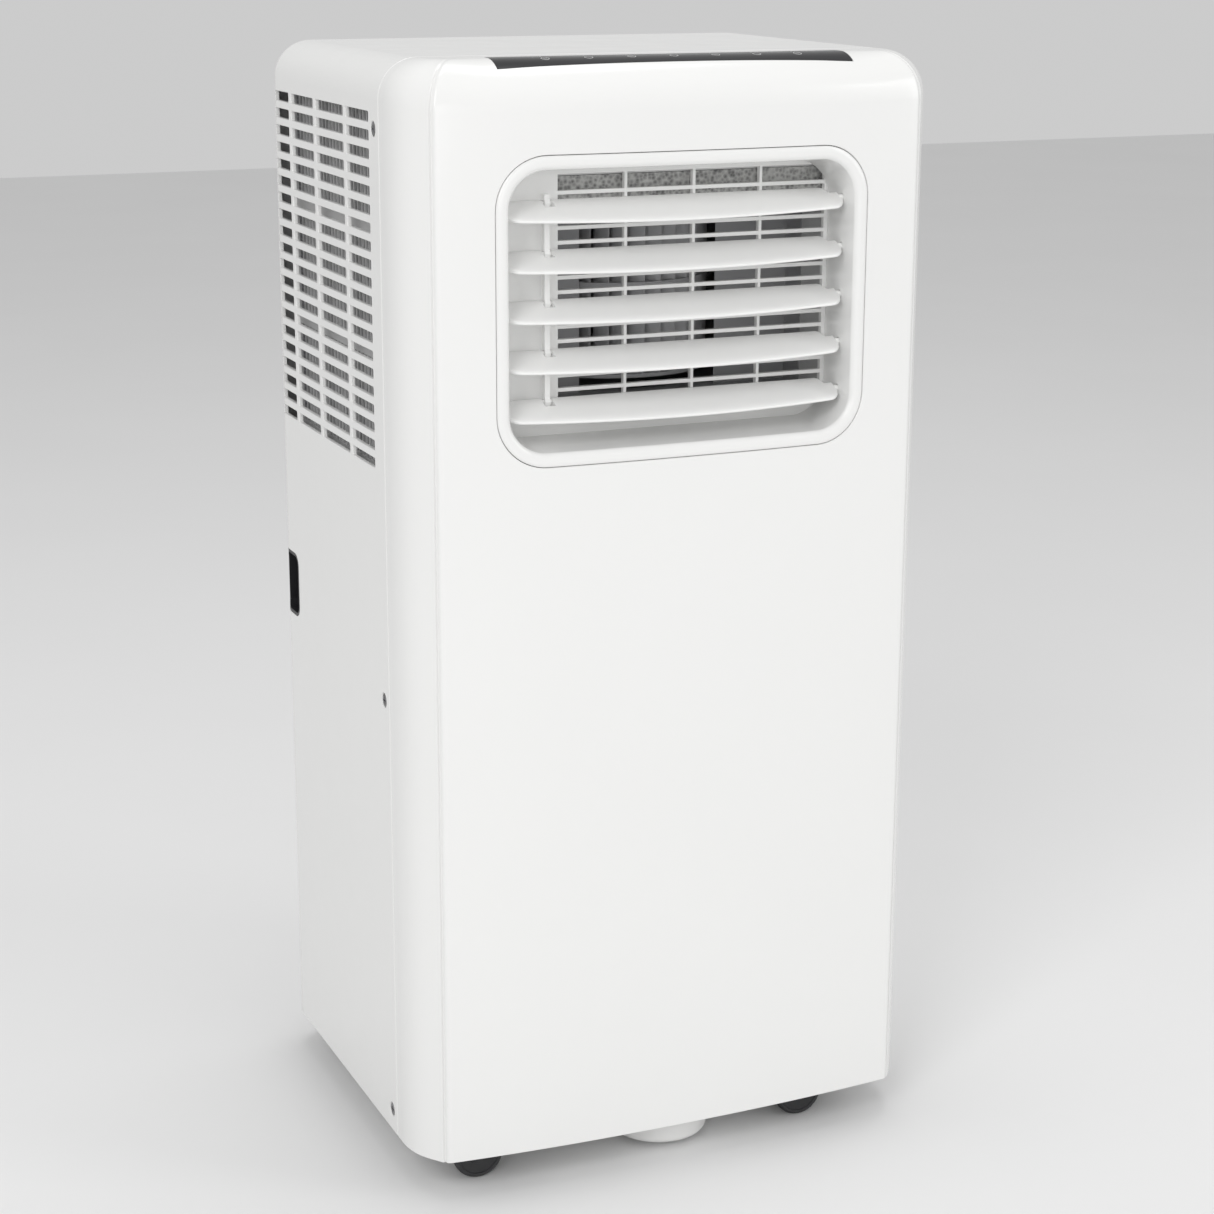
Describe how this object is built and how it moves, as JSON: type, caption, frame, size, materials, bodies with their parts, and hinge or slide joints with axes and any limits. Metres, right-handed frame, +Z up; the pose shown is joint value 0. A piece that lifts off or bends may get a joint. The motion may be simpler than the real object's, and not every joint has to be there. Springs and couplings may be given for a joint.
{
  "type": "portable air conditioner",
  "caption": "Free-standing room air conditioner on swivel casters, with tilting front louvres, side and rear air grilles, a top control strip and a rear exhaust hose collar.",
  "frame": {"origin": "on the floor, under the middle of the object's box", "axes": "+Z up, -Y the front with the air outlet, +X to the right of someone who faces the front"},
  "size_m": [0.331, 0.2758, 0.672],
  "materials": {
    "shell_white": "semi-gloss moulded ABS",
    "louvre_white": "satin moulded ABS",
    "grey_plastic": "matt moulded polypropylene",
    "black_plastic": "fine textured black plastic",
    "control_gloss": "smooth dark overlay film",
    "circuit_board": "solder mask on glass-epoxy board",
    "foam": "open cell insulation foam",
    "aluminium": "thin fins, satin",
    "copper": "drawn copper tube",
    "steel": "zinc plated sheet",
    "black_paint": "baked black enamel",
    "wheel_rubber": "hard nylon tread"
  },
  "bodies": {
    "casing": {"front_shell": "shell_white", "rear_shell": "shell_white", "vent_bezel": "shell_white", "base_pan": "shell_white", "lower_grille": "shell_white", "outlet_grid": "louvre_white", "outlet_duct": "grey_plastic", "supply_scroll": "grey_plastic", "exhaust_scroll": "grey_plastic", "exhaust_duct": "grey_plastic", "side_filter_left": "grey_plastic", "side_filter_right": "grey_plastic", "drain_tray": "grey_plastic", "control_panel": "control_gloss", "display_board": "circuit_board", "control_board": "circuit_board", "foam_liner": "foam", "evaporator": "aluminium", "condenser": "aluminium", "run_capacitor": "aluminium", "suction_pipe": "copper", "discharge_pipe": "copper", "capillary_tube": "copper", "supply_motor": "steel", "exhaust_motor": "steel", "splash_motor": "steel", "control_box": "steel", "screw_left_1": "steel", "screw_left_2": "steel", "screw_left_3": "steel", "screw_right_1": "steel", "screw_right_2": "steel", "screw_right_3": "steel", "compressor": "black_paint", "accumulator": "black_paint", "exhaust_collar": "black_plastic", "handle_cup_left": "black_plastic", "handle_cup_right": "black_plastic", "cord_gland": "black_plastic"},
    "louvre_1": {"louvre_1": "louvre_white"},
    "louvre_2": {"louvre_2": "louvre_white"},
    "louvre_3": {"louvre_3": "louvre_white"},
    "louvre_4": {"louvre_4": "louvre_white"},
    "louvre_5": {"louvre_5": "louvre_white"},
    "link_bar": {"link_bar": "louvre_white"},
    "supply_wheel": {"supply_blower_wheel": "grey_plastic"},
    "exhaust_wheel": {"exhaust_blower_wheel": "grey_plastic"},
    "splash_wheel": {"splash_wheel": "grey_plastic"},
    "rear_door": {"rear_grille": "shell_white", "rear_filter": "grey_plastic"},
    "drain_cap_lower": {"drain_cap_lower": "black_plastic"},
    "drain_cap_upper": {"drain_cap_upper": "black_plastic"},
    "caster_front_left": {"caster_front_left": "black_plastic"},
    "caster_wheels_front_left": {"caster_wheels_front_left": "wheel_rubber"},
    "caster_front_right": {"caster_front_right": "black_plastic"},
    "caster_wheels_front_right": {"caster_wheels_front_right": "wheel_rubber"},
    "caster_rear_left": {"caster_rear_left": "black_plastic"},
    "caster_wheels_rear_left": {"caster_wheels_rear_left": "wheel_rubber"},
    "caster_rear_right": {"caster_rear_right": "black_plastic"},
    "caster_wheels_rear_right": {"caster_wheels_rear_right": "wheel_rubber"}
  },
  "joints": [
    {"name": "louvre_1_tilt", "type": "hinge", "parent": "casing", "child": "louvre_1", "pos_m": [0, -0.1168, 0.5884], "axis": [1, 0, 0], "range_deg": [-32, 38]},
    {"name": "louvre_2_tilt", "type": "hinge", "parent": "casing", "child": "louvre_2", "pos_m": [0, -0.1168, 0.5602], "axis": [1, 0, 0], "range_deg": [-32, 38]},
    {"name": "louvre_3_tilt", "type": "hinge", "parent": "casing", "child": "louvre_3", "pos_m": [0, -0.1168, 0.532], "axis": [1, 0, 0], "range_deg": [-32, 38]},
    {"name": "louvre_4_tilt", "type": "hinge", "parent": "casing", "child": "louvre_4", "pos_m": [0, -0.1168, 0.5038], "axis": [1, 0, 0], "range_deg": [-32, 38]},
    {"name": "louvre_5_tilt", "type": "hinge", "parent": "casing", "child": "louvre_5", "pos_m": [0, -0.1168, 0.4756], "axis": [1, 0, 0], "range_deg": [-32, 38]},
    {"name": "link_bar_pin", "type": "hinge", "parent": "louvre_1", "child": "link_bar", "pos_m": [-0.076, -0.10827, 0.59185], "axis": [1, 0, 0], "range_deg": [-38, 32]},
    {"name": "supply_blower_spin", "type": "hinge", "parent": "casing", "child": "supply_wheel", "pos_m": [0.012, 0.012, 0.534], "axis": [0, 0, 1], "continuous": true},
    {"name": "exhaust_blower_spin", "type": "hinge", "parent": "casing", "child": "exhaust_wheel", "pos_m": [0.048, 0.01, 0.165], "axis": [0, 1, 0], "continuous": true},
    {"name": "splash_wheel_spin", "type": "hinge", "parent": "casing", "child": "splash_wheel", "pos_m": [0.06, 0.062, 0.057], "axis": [1, 0, 0], "continuous": true},
    {"name": "caster_front_left_swivel", "type": "hinge", "parent": "casing", "child": "caster_front_left", "pos_m": [-0.11, -0.1, 0.045], "axis": [0, 0, 1], "continuous": true},
    {"name": "caster_front_left_roll", "type": "hinge", "parent": "caster_front_left", "child": "caster_wheels_front_left", "pos_m": [-0.122, -0.1, 0.016], "axis": [0, 1, 0], "continuous": true},
    {"name": "caster_front_right_swivel", "type": "hinge", "parent": "casing", "child": "caster_front_right", "pos_m": [0.11, -0.1, 0.045], "axis": [0, 0, 1], "continuous": true},
    {"name": "caster_front_right_roll", "type": "hinge", "parent": "caster_front_right", "child": "caster_wheels_front_right", "pos_m": [0.098, -0.1, 0.016], "axis": [0, 1, 0], "continuous": true},
    {"name": "caster_rear_left_swivel", "type": "hinge", "parent": "casing", "child": "caster_rear_left", "pos_m": [-0.11, 0.1, 0.045], "axis": [0, 0, 1], "continuous": true},
    {"name": "caster_rear_left_roll", "type": "hinge", "parent": "caster_rear_left", "child": "caster_wheels_rear_left", "pos_m": [-0.122, 0.1, 0.016], "axis": [0, 1, 0], "continuous": true},
    {"name": "caster_rear_right_swivel", "type": "hinge", "parent": "casing", "child": "caster_rear_right", "pos_m": [0.11, 0.1, 0.045], "axis": [0, 0, 1], "continuous": true},
    {"name": "caster_rear_right_roll", "type": "hinge", "parent": "caster_rear_right", "child": "caster_wheels_rear_right", "pos_m": [0.098, 0.1, 0.016], "axis": [0, 1, 0], "continuous": true},
    {"name": "rear_door_pull", "type": "slide", "parent": "casing", "child": "rear_door", "axis": [0, 1, 0], "range_m": [0, 0.06]},
    {"name": "drain_cap_lower_pull", "type": "slide", "parent": "casing", "child": "drain_cap_lower", "axis": [0, 1, 0], "range_m": [0, 0.03]},
    {"name": "drain_cap_upper_pull", "type": "slide", "parent": "casing", "child": "drain_cap_upper", "axis": [0, 1, 0], "range_m": [0, 0.03]}
  ],
  "couplings": [
    {"joint": "louvre_2_tilt", "follows": "louvre_1_tilt", "ratio": 1},
    {"joint": "louvre_3_tilt", "follows": "louvre_1_tilt", "ratio": 1},
    {"joint": "louvre_4_tilt", "follows": "louvre_1_tilt", "ratio": 1},
    {"joint": "louvre_5_tilt", "follows": "louvre_1_tilt", "ratio": 1},
    {"joint": "link_bar_pin", "follows": "louvre_1_tilt", "ratio": -1}
  ]
}
